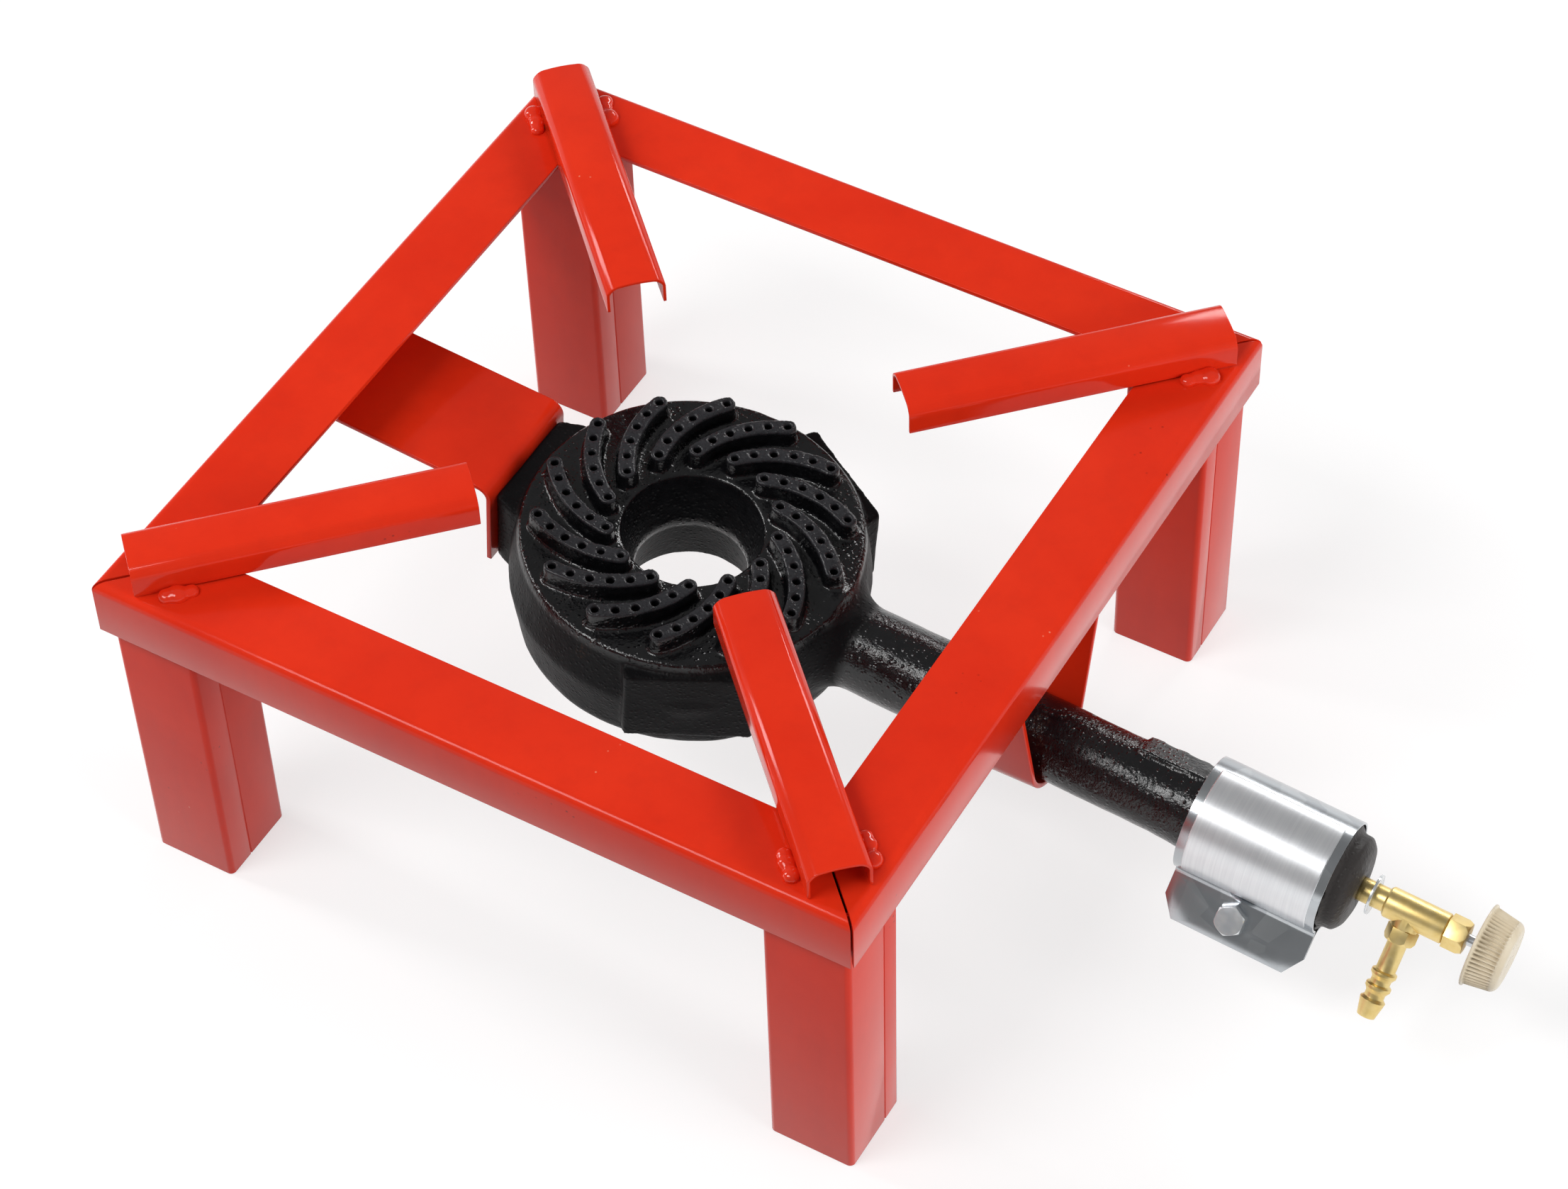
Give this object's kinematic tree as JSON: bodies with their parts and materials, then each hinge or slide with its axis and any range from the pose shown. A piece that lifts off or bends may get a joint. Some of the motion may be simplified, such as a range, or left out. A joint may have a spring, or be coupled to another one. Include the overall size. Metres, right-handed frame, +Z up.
{
  "type": "single burner stove",
  "caption": "Low square gas stove: angle frame on four tube legs, four diagonal pan supports, and a cast ring burner with air shutter, needle valve and hose tail.",
  "frame": {"origin": "on the floor, under the middle of the square frame", "axes": "+X along the mixing tube towards the knob, the front of the stove; +Y to the right of someone who faces the knob; +Z up"},
  "size_m": [0.4713, 0.3, 0.158],
  "materials": {
    "frame_enamel": "gloss red enamel",
    "weld_enamel": "enamelled weld metal, uneven and shiny",
    "black_iron": "black painted sand casting, semi-gloss and grainy",
    "zinc_sheet": "galvanised sheet, satin",
    "zinc_fastener": "bright zinc plate",
    "valve_brass": "turned brass, satin",
    "knob_plastic": "off-white moulded plastic",
    "packing_graphite": "matt graphite packing"
  },
  "bodies": {
    "stove_frame": {"left_rail": "frame_enamel", "right_rail": "frame_enamel", "front_rail": "frame_enamel", "rear_rail": "frame_enamel", "front_left_leg": "frame_enamel", "front_right_leg": "frame_enamel", "rear_left_leg": "frame_enamel", "rear_right_leg": "frame_enamel", "front_left_support": "frame_enamel", "front_right_support": "frame_enamel", "rear_left_support": "frame_enamel", "rear_right_support": "frame_enamel", "support_welds": "weld_enamel", "hanger_welds": "weld_enamel", "rear_bracket": "frame_enamel", "bracket_bolt": "zinc_fastener", "bracket_washer": "zinc_fastener", "tube_cradle": "frame_enamel", "burner": "black_iron", "injector": "valve_brass", "valve_body": "valve_brass", "neck_washer": "zinc_fastener", "hose_tail": "valve_brass", "gland_packing": "packing_graphite", "gland_nut": "valve_brass"},
    "shutter": {"air_shutter": "zinc_sheet", "clamp_bolt": "zinc_fastener", "clamp_nut": "zinc_fastener"},
    "needle": {"valve_needle": "zinc_fastener"},
    "knob": {"knob": "knob_plastic"}
  },
  "joints": [
    {"name": "air_shutter_slide", "type": "slide", "parent": "stove_frame", "child": "shutter", "axis": [0.9969, 0, -0.0785], "range_m": [-0.018, 0.006]},
    {"name": "needle_slide", "type": "slide", "parent": "stove_frame", "child": "needle", "axis": [0.9969, 0, -0.0785], "range_m": [0, 0.00151]},
    {"name": "knob_turn", "type": "hinge", "parent": "needle", "child": "knob", "pos_m": [0.30835, 0, 0.06253], "axis": [0.9969, 0, -0.0785], "range_deg": [0, 540]}
  ],
  "couplings": [
    {"joint": "needle_slide", "follows": "knob_turn", "m_per_rad": 0.00015915}
  ]
}
